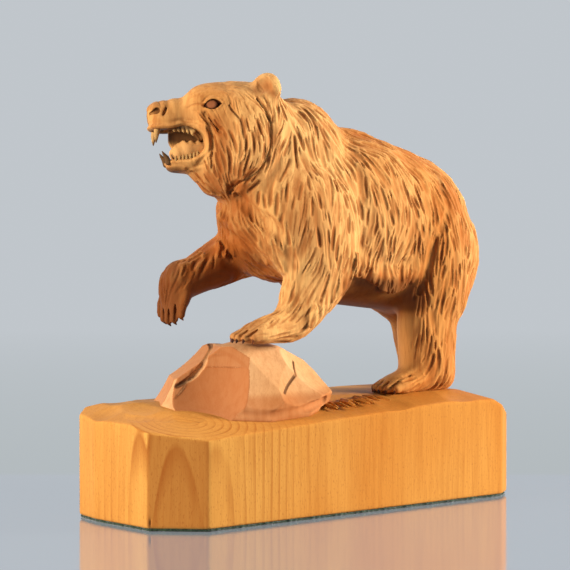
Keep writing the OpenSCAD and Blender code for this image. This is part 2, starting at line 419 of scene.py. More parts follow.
def face_painted_shade(points):
    """Painted shade in the face's creases and openings, from 0 to 1: round the eyes, on the lips and in the
    mouth, at the nose and chin, and along the ruff and the muzzle's rim.
    """
    p = ahead, side, up = in_head(points)
    gape = gape_of(p)
    lids = ramp(0.5 - almond_of(p), 0, 0.4) * ramp(side, 9, 12) * ramp(ahead, 13, 15)
    corner = bump(rod(p, EYE_CORNER, [0, 0]), 0.6)
    lips = 0.8 * bump(gape + 0.2, 0.55) * ramp(up, -14, -8) * ramp(ahead, 26, 30)
    throat = 0.82 * ramp(-gape, 0.5, 2.5) * ramp(10.5 - side, 0, 1)
    throat = throat * ramp(up, -13, -8) * ramp(ahead, 16, 24)
    philtrum = 0.8 * bump(side, 0.9) * ramp(ahead, 57, 59) * ramp(up, -3, 0)
    wing = 0.7 * bump(rod(p, NOSE_WING, [0, 0, 0]), 1.1)
    chin = 0.65 * ramp(-up, 24.5, 27) * ramp(ahead, 39, 46)
    broken = 0.5 + 0.3 * np.sin(up * 0.42 + 1.2) + 0.2 * np.sin(up * 1.1)
    ruff = 0.75 * broken * bump(side_gap(p, RUFF_LINE), 0.8)
    ruff = ruff * ramp(side, 6, 14) * (0.3 + 0.7 * ramp(up, -30, -20))
    rim = 0.3 * bump(behind_rim(p) - 1.8, 0.8) * rim_part(p)
    lines = [0.5 * bump(side_gap(p, path), 0.6) * ramp(side, 7, 10) for path in EYE_LINES]
    parts = [lids, corner, lips, throat, philtrum, wing, nostril_painted_shadow(p), chin, ruff, rim, *lines]
    return np.clip(np.maximum.reduce(parts), 0, 1)


def cheek_shade(points):
    """Painted shade on the face: on the cheek behind the muzzle's rim, in the ears' cups and under the jaw.
    """
    p = ahead, side, up = in_head(points)
    cheek = bump(behind_rim(p) - 6.5, 5.5) * ramp(9 - up, 0, 8) * ramp(up, -48, -40) * ramp(side, 6, 11)
    facing, across = ear_axes(p)
    ear = bump(np.hypot(across, up - 23.6), 6) * ramp(facing, -2, 0) * ramp(up, 14, 17)
    under = 0.8 * ramp(-up, 24, 34) * ramp(ahead, -6, 4)
    return np.maximum.reduce([cheek, ear * (side < 30) * (ahead < 4), under])


# --- The bear's form -------------------------------------------------------------------------

# Each paw: its claws' node, the way its toes point and the way its back faces
PAWS = {
    "left_foreleg": ("left_fore_claws", (-1, 0, 0), (0, 0, 1)),
    "right_foreleg": ("right_fore_claws", (-0.44, 0, -0.90), (-0.90, 0, 0.44)),
    "left_hind_leg": ("left_hind_claws", (-1, 0, 0), (0, 0, 1)),
    "right_hind_leg": ("right_hind_claws", (-0.914, -0.407, 0), (0, 0, 1)),
}
TOES = (-2, -1, 0, 1, 2)
TOE_GAP = 5.35
TOE_R = 3.1


def toe_axes(leg):
    """The paw's middle claw root, and its forward, sideways and back-of-paw directions."""
    claws, forward, back = PAWS[leg]
    forward, back = np.array(forward, float), np.array(back, float)
    forward /= np.linalg.norm(forward)
    back /= np.linalg.norm(back)
    across = np.cross(back, forward)
    low, high = box_mm(claws)
    return (low + high) / 2, forward, across, back


def toe_point(leg, toe, ahead, lift):
    """A place on a toe, from its claw's root. The toes are numbered from the middle one."""
    middle, forward, across, back = toe_axes(leg)
    return middle + forward * (ahead - 1.1 * toe * toe) + across * toe * TOE_GAP + back * lift


def shape_paw(volume, leg):
    """Five toes with a cut between each pair."""
    reach = 30
    middle = toe_axes(leg)[0]
    cut = volume.window(middle - reach, middle + reach)
    if cut is None:
        return
    p = world_axes(volume, cut)
    d = volume.field[cut]
    for toe in TOES:
        points = [toe_point(leg, toe, *at) for at in ((-12, 3.2), (-4, 2.6), (2, 0.6))]
        d = smin(d, rod(p, points, [2.6, TOE_R, 2.7]), 1.6)
    for gap in (-1.5, -0.5, 0.5, 1.5):
        points = [toe_point(leg, gap, *at) for at in ((-15, 8.6), (-5, 5.0), (5, 1.0))]
        d = smax(d, -rod(p, points, [0.7, 1.05, 1.1]), 0.8)
    volume.field[cut] = d


def widths(path, shares, radii):
    """A radius for each point of the path, from those at some shares of its length."""
    return np.interp(np.linspace(0, 1, len(path)), shares, radii)


def stroke(volume, points, radii, soft, add):
    """Adds a rod of wood along the points, or gouges one out."""
    points = [np.array(p, float) for p in points]
    radii = list(radii) if np.ndim(radii) else [radii] * len(points)
    reach = max(radii) + soft + 3
    cut = volume.window(np.min(points, axis=0) - reach, np.max(points, axis=0) + reach)
    if cut is None:
        return
    d = rod(world_axes(volume, cut), points, radii)
    old = volume.field[cut]
    volume.field[cut] = smin(old, d, soft) if add else smax(old, -d, soft)


# Where the hair's lower edge hangs over the belly, and how far down: x and z
BELLY_EDGE = [(14, 156), (25, 151), (35, 147), (48, 140), (61, 141), (71, 148), (79, 153)]
# The rear of the left foreleg, from the elbow to the wrist: x and z
ELBOW_EDGE = [(5, 154), (-4, 143), (-11, 136), (-23, 128), (-32, 120)]


HAUNCH_CREASE = smooth_path([(101, -30, 228), (99, -38, 212), (100, -43.5, 201), (92, -46, 186),
                             (84.5, -45.5, 176), (82, -43.5, 164), (80, -41, 153), (77, -36, 141)])


def body_details(volume):
    """The shoulders' fill, the haunches' creases, the back's line and the chest."""
    for side in (1, -1):
        # the shoulder flows into the flank
        fill = [(4, -22, 233), (9, -27, 215), (7, -33, 195), (4, -35, 168)]
        stroke(volume, [(x, y * side, z) for x, y, z in fill], [9, 11, 11, 10], 8, True)
        # crease in front of the haunch
        crease = [(p[0], p[1] * side, p[2]) for p in HAUNCH_CREASE]
        stroke(volume, crease, widths(crease, [0, 0.3, 0.8, 1], [0.8, 2.6, 3.0, 1.8]), 0.8, False)
    # the back's line runs into the hump's
    stroke(volume, [(22, 0, 240), (48, 0, 238)], [15, 14], 8, True)
    # the chest: a ridge down to the forelegs, set off by a valley on either side
    ridge = smooth_path([(-56, 8, 193), (-55, -5, 187), (-50, -15, 179), (-44, -23, 170), (-37, -29, 160)])
    stroke(volume, [p + (0.6, 1.6, 0) for p in ridge], 5.6, 2.2, True)
    valley = smooth_path([(-59, -7, 205), (-57, -15, 198), (-54, -23, 191), (-51, -31, 185),
                          (-47, -37, 178), (-42, -39, 170), (-38, -39, 163)])
    stroke(volume, valley, widths(valley, [0, 0.4, 1], [2.4, 6.4, 3.0]), 2.0, False)
    hollow = smooth_path([(-59, 9, 181), (-58, -3, 176), (-54, -11, 170), (-48, -18, 163), (-43, -25, 156)])
    stroke(volume, hollow, 4.4, 2.0, False)


def fringes(volume):
    """Locks of hair whose tips hang free of the belly, the elbow and the chest."""
    pick = np.random.default_rng(31)
    edge_x, edge_z = zip(*BELLY_EDGE)
    for side in (1, -1):
        for x in np.arange(12, 79, 2.6):
            x = x + pick.uniform(-0.8, 0.8)
            tip = np.interp(x, edge_x, edge_z) + pick.uniform(0.5, 3)
            y = -38.2 + 1.5 * ((x - 45) / 32) ** 2 + pick.uniform(-0.7, 0.7)
            points = [(x + 1.5, (y + 1.0) * side, tip + 16), (x + 0.8, (y + 0.3) * side, tip + 7),
                      (x, (y + 1.5) * side, tip)]
            stroke(volume, points, [2.0, pick.uniform(2.5, 3.2), 1.5], 2.0, True)
    edge_x, edge_z = zip(*ELBOW_EDGE)
    way = np.array([-0.42, 0, -0.9])
    for t in np.linspace(0, 1, 8):
        place = np.array([np.interp(t * 4, range(5), edge_x), -43.0, np.interp(t * 4, range(5), edge_z)])
        tip = place + np.array([0.66, 0, -0.75]) * pick.uniform(0.6, 2.4)
        for y in (-3.5, 3.5):
            at = tip + (0, y + pick.uniform(-1, 1), 0)
            stroke(volume, [at - way * 15 + (-2, 0, 2), at - way * 7, at], [2, 2.8, 0.9], 1.2, True)
    for x, y, z in [(-57, 16, 168), (-54, 12, 167), (-51, 7, 166.5), (-49, 1, 166), (-47.5, -5, 165),
                    (-45, -11, 164), (-43, -17, 162)]:
        tip = np.array([x + 1, y, z - pick.uniform(0, 4)])
        stroke(volume, [tip + (4, 4, 9), tip + (1.2, 1.0, 5), tip], [2.4, 2.4, 0.8], 1.5, True)


def bear_form(volume):
    """The smooth bear on a volume, before any hair is cut."""
    volume.field = volume.spread(coarse, base) - SWELL
    body_details(volume)
    corners = np.array([from_head(a, b, c) for a in (-38, 70) for b in (-34, 34) for c in (-48, 38)])
    cut = volume.window(corners.min(axis=0), corners.max(axis=0))
    if cut is not None:
        p = head_axes(volume, cut)
        old = smax(volume.field[cut], np.minimum(p[0] - 9, p[2] + 42), 4)
        d = smin(old, head_form(p), 5)
        crease = side_gap(p, RUFF_LINE)
        d = d + (2.0 * bump(crease, 0.9) + 0.6 * bump(crease, 3.5)) * ramp(p[1], 6, 14)
        volume.field[cut] = carve_face(p, d)
    fringes(volume)
    for leg in PAWS:
        shape_paw(volume, leg)


# --- Hair ------------------------------------------------------------------------------------

# Which way the hair lies: a place on the bear's left side, or on its middle, and a direction
FLOW = [
    ((-21, -15, 267), (0.5, -0.4, -0.7)), ((5, -14, 266), (0.7, -0.3, -0.6)),        # hump
    ((-40, -28, 243), (-0.5, -0.1, -0.85)), ((-52, -30, 218), (-0.5, -0.1, -0.85)),  # neck
    ((-20, -32, 248), (-0.1, -0.2, -1)), ((-6, -40, 238), (0.25, -0.1, -1)),
    ((22, -14, 255), (0.75, -0.2, -0.6)), ((49, -15, 248), (0.8, -0.2, -0.55)),      # back
    ((80, -20, 240), (0.7, -0.2, -0.7)), ((110, -18, 232), (0.7, -0.1, -0.75)),
    ((138, -12, 212), (0.35, 0, -1)), ((146, -14, 185), (0, 0, -1)),                 # rump
    ((12, -46, 210), (0.15, 0, -1)), ((54, -46, 210), (0.25, 0, -1)),                # flank
    ((25, -46, 172), (0, 0, -1)), ((58, -46, 172), (-0.15, 0, -1)), ((36, -40, 150), (-0.05, 0.1, -1)),
    ((112, -40, 200), (0.15, 0, -1)), ((110, -45, 162), (-0.1, 0, -1)),              # haunch
    ((85, -38, 125), (-0.1, 0, -1)), ((108, -36, 110), (0, 0, -1)), ((74, -28, 104), (-0.1, 0, -1)),
    ((-50, -33, 200), (-0.4, -0.1, -0.9)), ((-30, -46, 191), (0, 0, -1)),            # shoulder
    ((-10, -48, 170), (-0.1, 0, -1)), ((15, -44, 160), (-0.3, 0, -1)),
    ((-60, -10, 187), (0.5, -0.3, -0.8)), ((-62, 0, 205), (0.2, 0, -1)), ((-45, -12, 168), (0.7, -0.1, -0.7)),
    ((-30, -44, 149), (-0.5, 0, -0.86)), ((-10, -44, 135), (-0.55, 0, -0.83)),       # foreleg
    ((-48, -32, 126), (-0.9, 0, -0.4)), ((-66, -32, 122), (-1, 0, -0.2)),
    ((70, -27, 92), (-0.9, 0, -0.45)), ((54, -27, 84), (-1, 0, -0.15)),              # hind paw
    ((40, 0, 134), (1, 0, 0)),                                                       # belly
]
# The raised right foreleg, which has no mate
FLOW_RIGHT = [
    ((-40, 30, 172), (-0.7, 0, -0.7)), ((-60, 30, 164), (-0.75, 0, -0.65)),
    ((-78, 29, 155), (-0.6, 0, -0.8)), ((-86, 29, 138), (-0.4, 0, -0.9)),
]
# The head, in its own frame: ahead, side (left is negative), up
FLOW_HEAD = [
    ((52, -9, 12), (-1, -0.1, 0.1)), ((40, -11, 8), (-1, -0.1, 0)), ((30, -8, 24), (-1, 0, 0.25)),
    ((10, -8, 29), (-1, 0, 0.05)), ((-10, -8, 28), (-1, -0.2, -0.2)),
    ((24, -18, 2), (-0.5, 0, -0.85)), ((12, -24, 4), (-0.45, 0, -0.9)), ((22, -22, -12), (-0.25, 0, -1)),
    ((8, -28, -10), (-0.15, 0, -1)), ((-8, -28, 0), (-0.1, 0, -1)), ((-14, -24, -12), (0.15, 0, -1)),
    ((10, -24, -28), (0.1, 0, -1)), ((26, -14, -28), (-0.3, 0, -0.9)), ((44, -7, -26), (-1, 0, -0.1)),
    ((22, -6, -38), (-0.6, 0, -0.8)), ((-5, -20, 22), (-0.5, -0.3, -0.8)),
]


def turned(vector):
    """A direction of the head's frame in the row's frame."""
    return from_head(*vector) - from_head(0, 0, 0)


flow_at, flow_to = [], []
for place, way in FLOW:
    for mirror in (1, -1):
        flow_at.append((place[0], place[1] * mirror, place[2]))
        flow_to.append((way[0], way[1] * mirror, way[2]))
for place, way in FLOW_RIGHT:
    flow_at.append(place)
    flow_to.append(way)
for place, way in FLOW_HEAD:
    for mirror in (1, -1):
        flow_at.append(from_head(place[0], place[1] * mirror, place[2]))
        flow_to.append(turned((way[0], way[1] * mirror, way[2])))
flow_at = np.array(flow_at, float)
flow_to = np.array(flow_to, float)
flow_to /= np.linalg.norm(flow_to, axis=1, keepdims=True)


def hair_way(points):
    """The hair's direction at points, from the nearest guides."""
    gap = ((points[:, None, :] - flow_at[None]) ** 2).sum(axis=2)
    weight = 1 / (gap + 30) ** 2
    way = weight @ flow_to
    way /= np.maximum(np.linalg.norm(way, axis=1, keepdims=True), 1e-6)
    # locks of hair bend to and fro
    waves = np.array([[0.21, 0.11, -0.05], [-0.09, 0.18, 0.16], [0.04, 0.13, 0.23]])
    way = way + 0.2 * np.sin(points @ waves + (0.3, 1.9, 4.1))
    return way / np.maximum(np.linalg.norm(way, axis=1, keepdims=True), 1e-6)


def surface(volume, field):
    """The points and quads of the field's surface, in mm."""
    grid = vdb.FloatGrid()
    grid.background = SKIN
    grid.copyFromArray(np.clip(field, -SKIN, SKIN), ijk=tuple(int(i) for i in volume.first))
    grid.transform = vdb.createLinearTransform(voxelSize=volume.step)
    return grid.convertToQuads(isovalue=0.0)


def scatter(count, gap, volume, values):
    """Points on the surface, at least gap apart, in a random order."""
    points, quads = surface(volume, values)
    picked = quads[rng.integers(0, len(quads), count)]
    shares = rng.dirichlet([1, 1, 1, 1], count)
    spots = (points[picked] * shares[:, :, None]).sum(axis=1)
    taken = {}
    kept = []
    for spot in spots:
        key = tuple((spot // gap).astype(int))
        near = (taken.get((key[0] + i, key[1] + j, key[2] + k))
                for i in (-1, 0, 1) for j in (-1, 0, 1) for k in (-1, 0, 1))
        if all(other is None or ((spot - other) ** 2).sum() > gap * gap for other in near):
            taken[key] = spot
            kept.append(spot)
    return np.array(kept)


def mouth_part(points):
    """1 in the open mouth and on its lips, where no hair is cut."""
    p = in_head(points)
    return ramp(4.0 - gape_of(p), 0, 1) * ramp(20 - p[1], 0, 2)


HAIR_STEPS = 14                     # steps in which a hair is traced
HAIR_KNOTS = 7                      # points of a hair that is cut
COMB_CELL = 0.8                     # grid on which hairs keep clear of each other


def trace(seeds, lengths, wander):
    """Paths of points that follow the hair over the blended body from each seed."""
    paths = [seeds]
    spot = seeds.copy()
    for _ in range(HAIR_STEPS):
        normal = normals_at(shape_volume, shape, spot)
        way = hair_way(spot)
        side = np.cross(normal, way)
        way = way + side * wander[:, None]
        way -= normal * (way * normal).sum(axis=1, keepdims=True)
        way /= np.maximum(np.linalg.norm(way, axis=1, keepdims=True), 1e-6)
        spot = spot + way * (lengths / HAIR_STEPS)[:, None]
        normal = normals_at(shape_volume, shape, spot)
        spot = spot - normal * sample(shape_volume, shape, spot)[:, None]
        paths.append(spot)
        wander = wander * 0.92
    return np.stack(paths, axis=1)


def cut_hair(volume, paths, radii):
    """Cuts a groove along each path, a rod of the given radii."""
    a, b = paths[:, :-1].reshape(-1, 3), paths[:, 1:].reshape(-1, 3)
    ra, rb = radii[:, :-1].ravel(), radii[:, 1:].ravel()
    reach = np.maximum(ra, rb)[:, None]
    first = np.ceil((np.minimum(a, b) - reach) / volume.step).astype(int) - volume.first
    last = np.floor((np.maximum(a, b) + reach) / volume.step).astype(int) - volume.first + 1
    first, last = np.maximum(first, 0), np.minimum(last, volume.shape)
    run = (b - a).astype(np.float32)
    length = np.maximum((run * run).sum(axis=1), 1e-6)
    for k in np.nonzero((last > first).all(axis=1))[0]:
        cut = tuple(slice(i, j) for i, j in zip(first[k], last[k]))
        x = volume.x[cut[0]] - a[k, 0]
        y = volume.y[:, cut[1]] - a[k, 1]
        z = volume.z[:, :, cut[2]] - a[k, 2]
        dot = x * run[k, 0] + y * run[k, 1] + z * run[k, 2]
        t = np.clip(dot / length[k], 0, 1)
        gap = np.sqrt(np.maximum((x * x + y * y + z * z) + t * (t * length[k] - 2 * dot), 0))
        groove = ra[k] + (rb[k] - ra[k]) * t - gap
        np.maximum(volume.field[cut], groove, out=volume.field[cut])


# --- Materials -------------------------------------------------------------------------------

def tone(text):
    """A linear colour from a six-digit sRGB one."""
    parts = [int(text[i:i + 2], 16) / 255 for i in (0, 2, 4)]
    return tuple(p / 12.92 if p < 0.04045 else ((p + 0.055) / 1.055) ** 2.4 for p in parts) + (1.0,)


class Nodes:
    """A node tree, with short ways to add what the looks share."""

    def __init__(self, tree):
        self.tree = tree

    def feed(self, value, socket):
        """Links value to the socket, or sets the socket to it."""
        if isinstance(value, bpy.types.NodeSocket):
            self.tree.links.new(value, socket)
        else:
            socket.default_value = value

    def add(self, kind, inputs=(), **settings):
        """A node. inputs gives, by name or number, values or the sockets that feed it."""
        node = self.tree.nodes.new("ShaderNode" + kind)
        for key, value in settings.items():
            setattr(node, key, value)
        for key, value in dict(inputs).items():
            self.feed(value, node.inputs[key])
        return node

    def noise(self, vector, detail=3.0, rough=0.55, distort=0.0):
        inputs = {"Vector": vector, "Scale": 1.0, "Detail": detail, "Roughness": rough,
                  "Distortion": distort}
        return self.add("TexNoise", inputs).outputs["Fac"]

    def steps(self, value, stops):
        """value as heights or colours, between the stops."""
        node = self.add("ValToRGB", {"Fac": value})
        elements = node.color_ramp.elements
        while len(elements) < len(stops):
            elements.new(0.5)
        for element, (at, height) in zip(elements, stops):
            element.position = at
            element.color = height if isinstance(height, tuple) else (height, height, height, 1)
        return node.outputs["Color"]

    def ranged(self, value, start, end, first=0.0, last=1.0):
        """value from start to end, as first to last."""
        inputs = {"Value": value, "From Min": start, "From Max": end, "To Min": first, "To Max": last}
        return self.add("MapRange", inputs).outputs["Result"]

    def mix(self, share, first, second):
        node = self.add("Mix", data_type="RGBA")
        for number, value in ((0, share), (6, first), (7, second)):
            self.feed(value, node.inputs[number])
        return node.outputs[2]

    def math(self, how, a, b):
        return self.add("Math", {0: a, 1: b}, operation=how).outputs["Value"]

    def height(self, vector):
        return self.add("SeparateXYZ", {0: vector}).outputs["Z"]

    def away(self, vector, rise=0.0):
        """How far the vector reaches away from the front of the scene, and up by rise."""
        inputs = {0: vector, 1: (math.sin(YAW), math.cos(YAW), rise)}
        return self.add("VectorMath", inputs, operation="DOT_PRODUCT").outputs["Value"]


class Look(Nodes):
    """A material on a piece's own coordinates."""

    def __init__(self, name, roughness, coat=0.0, specular=0.5):
        self.material = bpy.data.materials.new(name)
        self.material.use_nodes = True
        super().__init__(self.material.node_tree)
        self.shader = self.tree.nodes["Principled BSDF"]
        self.set("Roughness", roughness)
        self.set("Specular IOR Level", specular)
        self.set("Coat Weight", coat)
        self.set("Coat Roughness", 0.32)
        self.place = self.add("TexCoord").outputs["Object"]

    def set(self, name, value):
        self.feed(value, self.shader.inputs[name])

    def mapped(self, scale, turn=(0, 0, 0), shift=(0, 0, 0)):
        turn = [math.radians(angle) for angle in turn]
        inputs = {"Vector": self.place, "Scale": scale, "Rotation": turn, "Location": shift}
        return self.add("Mapping", inputs).outputs["Vector"]

    def mark(self, name):
        return self.add("Attribute", attribute_name=name).outputs["Fac"]

    def bump(self, height, strength, distance):
        inputs = {"Strength": strength, "Distance": distance, "Height": height}
        self.set("Normal", self.add("Bump", inputs).outputs["Normal"])


def ring_share(n, rings):
    """How strongly the growth rings show: sheets round a heart that leans through the block."""
    squeezed = n.mapped((1, 1, 1), (3.6, -3.5, 0), (0.118, 0.027, 0))
    squeezed = n.add("Mapping", {"Vector": squeezed, "Scale": (1, 1, 0.12)}).outputs["Vector"]
    inputs = {"Vector": squeezed, "Scale": 62.0, "Distortion": 1.3, "Detail": 2.0, "Detail Scale": 0.8,
              "Detail Roughness": 0.45}
    wave = n.add("TexWave", inputs, wave_type="RINGS", rings_direction="Z", wave_profile="SAW")
    lines = n.steps(wave.outputs["Fac"], [(0.0, 0.0), (0.6, 0.15), (0.93, 1.0), (1.0, 0.1)])
    # the lines are strong round the heart, faint in patches further out, and faint on the carved top
    far = n.add("VectorMath", {0: squeezed}, operation="LENGTH").outputs["Value"]
    near = n.ranged(far, 0.03, 0.08, 1.0, 0.22)
    patch = n.steps(n.noise(n.mapped((24, 24, 9), (0, 20, 0)), 2.0), [(0.42, 0.25), (0.62, 1.0)])
    share = n.math("MULTIPLY", n.math("MULTIPLY", lines, rings), n.math("MULTIPLY", near, patch))
    return n.math("MULTIPLY", share, n.ranged(n.height(n.place), 0.060, 0.069, 1.0, 0.35))


def wood(name, pale, mid, deep, streaky=0.55, rings=0.0):
    """Pear-like wood, its grain upright as in the block that everything was cut from."""
    n = Look(name, 0.58, 0.05, 0.2)
    broad = n.noise(n.mapped((9, 9, 5), (8, 6, 0)), 2.0)
    streak = n.noise(n.mapped((300, 300, 14), (4, -5, 0)), 4.0, 0.6, 0.4)
    fine = n.noise(n.mapped((1500, 1500, 60), (4, -5, 0)), 2.0)
    base = n.mix(n.steps(broad, [(0.3, 0.0), (0.7, 1.0)]), tone(pale), tone(mid))
    base = n.mix(n.steps(streak, [(0.42, 0.0), (0.72, streaky)]), base, tone(deep))
    base = n.mix(n.steps(fine, [(0.5, 0.0), (0.75, 0.22)]), base, tone(deep))
    if rings:
        base = n.mix(ring_share(n, rings), base, tone(deep))
        pores = n.noise(n.mapped((1100, 1100, 420)), 1.0)
        base = n.mix(n.steps(pores, [(0.60, 0.0), (0.70, 0.4)]), base, tone("8e4f22"))
    # hollow mark: random tones of the boulder's faces, the plinth's darker heart, and painted shade on the
    # cheeks, along the body, on the boulder's turned-away faces and foot and on the plinth's top; the locks'
    # hollows are partly patina and partly painted shade
    hollow, cut = n.math("MULTIPLY", n.mark("hollow"), 0.6), n.math("MULTIPLY", n.mark("cut"), 0.5)
    base = n.mix(n.steps(hollow, [(0.1, 0.0), (1.0, 0.75)]), base, tone("984812"))
    # the cut mark darkens the grooves by their depth, partly as patina and partly as painted shade
    base = n.mix(n.steps(cut, [(0.06, 0.0), (0.42, 0.62)]), base, tone("8c4412"))
    base = n.mix(n.steps(cut, [(0.36, 0.0), (0.75, 0.6)]), base, tone("4e220d"))
    # stain mark: painted shade in creases, slits, nostrils and the mouth, and the own dark tips of claws and
    # teeth
    n.set("Base Color", n.mix(n.mark("stain_and_shade"), base, tone("3a180b")))
    n.bump(n.math("ADD", n.math("MULTIPLY", streak, 0.5), n.math("MULTIPLY", fine, 0.5)), 0.25, 0.0004)
    return n.material


def felt_material():
    n = Look("felt", 0.95, specular=0.1)
    fuzz = n.noise(n.mapped((900, 900, 900)))
    weave = n.steps(fuzz, [(0.35, 0.0), (0.65, 1.0)])
    n.set("Base Color", n.mix(weave, tone("16221a"), tone("33452f")))
    n.set("Sheen Weight", 0.4)
    n.bump(fuzz, 0.8, 0.0006)
    return n.material


def trim_material(name, pale, deep, roughness, coat):
    """Small parts: one colour that runs to another where the stain mark is 1; the mark holds the parts' own
    dark tips and painted shade.
    """
    n = Look(name, roughness, coat)
    cloud = n.noise(n.mapped((400, 400, 90)))
    base = n.mix(n.steps(cloud, [(0.35, 0.0), (0.7, 0.35)]), tone(pale), tone(deep))
    n.set("Base Color", n.mix(n.mark("stain_and_shade"), base, tone(deep)))
    n.bump(cloud, 0.15, 0.0003)
    return n.material


CARVED = wood("carved_wood", "dca968", "b87434", "8c4616")
BOULDER_WOOD = wood("boulder_wood", "d8ac7a", "bc7c44", "8c4516", streaky=0.3)
PLINTH_WOOD = wood("plinth_wood", "cc9448", "bb7730", "8e4610", streaky=0.25, rings=0.8)
FELT = felt_material()
CLAW = trim_material("claw", "6b3819", "2a120a", 0.4, 0.2)
TOOTH = trim_material("tooth", "c4965a", "3a1c0c", 0.6, 0.0)
TONGUE = trim_material("tongue_wood", "d29a5c", "a05c28", 0.58, 0.03)
EYE = trim_material("eye", "9c5a34", "2a120a", 0.55, 0.03)
NOSE = wood("nose_wood", "bf8a50", "a96c36", "7a3f18")


# --- Division into pieces --------------------------------------------------------------------

def seam_of(name, volume):
    """How far past its own ground a voxel is for a node: negative where the node's wood is."""
    others = np.minimum.reduce([solids[other] for other in BEAR if other != name])
    return volume.spread(coarse, ((solids[name] - others) / 2).astype(np.float32))


def skin_mesh(name, volume):
    """A closed mesh on the field's surface, in metres, and its points in mm."""
    points, quads = surface(volume, volume.field)
    mesh = bpy.data.meshes.new(name)
    mesh.vertices.add(len(points))
    mesh.vertices.foreach_set("co", (points * MM).astype(np.float32).ravel())
    mesh.loops.add(len(quads) * 4)
    mesh.polygons.add(len(quads))
    mesh.loops.foreach_set("vertex_index", quads[:, ::-1].astype(np.int32).ravel())
    mesh.polygons.foreach_set("loop_start", np.arange(len(quads), dtype=np.int32) * 4)
    mesh.update(calc_edges=True)
    mesh.polygons.foreach_set("use_smooth", np.ones(len(quads), bool))
    return mesh, points


def mark(mesh, name, values):
    """Stores a number on each of the mesh's points for its material."""
    layer = mesh.attributes.new(name, "FLOAT", "POINT")
    layer.data.foreach_set("value", values.astype(np.float32))


def put(name, mesh, material):
    """Adds a piece that rides on the bear and stands for the CAD node of its name."""
    piece = bpy.data.objects.new(name, mesh)
    bpy.context.scene.collection.objects.link(piece)
    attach(piece, "root")
    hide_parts(name)
    mesh.materials.append(material)
    note(f"{name}: {len(mesh.polygons)} quads")


shape_volume = Volume(*coarse.corners(), COARSE)
bear_form(shape_volume)
shape = shape_volume.field
calm = blur(shape, 1.0)
note("coarse form")


def comb(seeds, lengths, wander, spacing, shortest):
    """Traces hairs and keeps the free runs, so that neighbours lie about spacing apart."""
    paths = trace(seeds, lengths, wander)
    low = shape_volume.first * COARSE - 2
    size = np.ceil((np.array(shape_volume.shape) * COARSE + 8) / COMB_CELL).astype(int)
    taken = np.zeros(size, bool)
    cells = np.floor((paths - low) / COMB_CELL).astype(int)
    offsets = {}
    kept = []
    for index, (path, cell) in enumerate(zip(paths, cells)):
        free = ~taken[cell[:, 0], cell[:, 1], cell[:, 2]]
        best, run, start = (0, 0), 0, 0
        for k, ok in enumerate(free):
            if ok:
                run += 1
                if run > best[1] - best[0]:
                    best = (k - run + 1, k + 1)
            else:
                run = 0
        if (best[1] - best[0] - 1) * lengths[index] / HAIR_STEPS < shortest:
            continue
        key = round(spacing[index] / COMB_CELL, 1)
        if key not in offsets:
            n = int(np.ceil(key))
            span = np.arange(-n, n + 1)
            ball = np.stack(np.meshgrid(span, span, span, indexing="ij"), -1).reshape(-1, 3)
            offsets[key] = ball[(ball ** 2).sum(axis=1) <= key * key]
        run = path[best[0]:best[1]]
        spots = (cell[best[0]:best[1], None] + offsets[key][None]).reshape(-1, 3)
        taken[spots[:, 0], spots[:, 1], spots[:, 2]] = True
        at = np.linspace(0, len(run) - 1, HAIR_KNOTS)
        below = np.minimum(at.astype(int), len(run) - 2)
        part = (at - below)[:, None]
        kept.append(run[below] * (1 - part) + run[below + 1] * part)
    return np.array(kept)


def lifted(paths, depth, radius):
    """Moves each path out along the normals so that its groove is tapered at both ends."""
    flat = paths.reshape(-1, 3)
    normal = normals_at(shape_volume, calm, flat, 2.4).reshape(paths.shape)
    t = np.linspace(0, 1, paths.shape[1])
    taper = np.sin(np.pi * t) ** 0.45
    up = radius[:, None] - depth[:, None] * taper[None]
    return paths + normal * up[:, :, None]


# --- Plinth, felt and boulder ----------------------------------------------------------------

def node_volume(node, step, band, margin=3):
    """A volume round a CAD node, with the node's own distance as its field."""
    low, high = box_mm(node)
    volume = Volume(low - margin, high + margin, step)
    volume.field = solid_of(node, volume, band)
    return volume


def onto(volume, places):
    """The places moved along the normals to the surface."""
    places = np.array(places, float)
    for _ in range(4):
        out = normals_at(volume, volume.field, places, 2.0)
        places = places - out * sample(volume, volume.field, places)[:, None]
    return places


def scoop(volume, place, radius, depth, soft=0.4):
    """Cuts a shallow dish as a gouge leaves, and gives the ball that it is part of."""
    place = onto(volume, [place])
    normal = normals_at(volume, volume.field, place, 2.5)[0]
    place = place[0]
    centre = place + normal * (radius - depth)
    reach = math.sqrt(max(radius ** 2 - (radius - depth - 1.0) ** 2, 1)) + 4
    cut = volume.window(place - reach, place + reach)
    if cut is not None:
        p = world_axes(volume, cut)
        d = np.sqrt(sum((a - c) ** 2 for a, c in zip(p, centre))) - radius
        volume.field[cut] = smax(volume.field[cut], -d, soft)
    return centre, radius


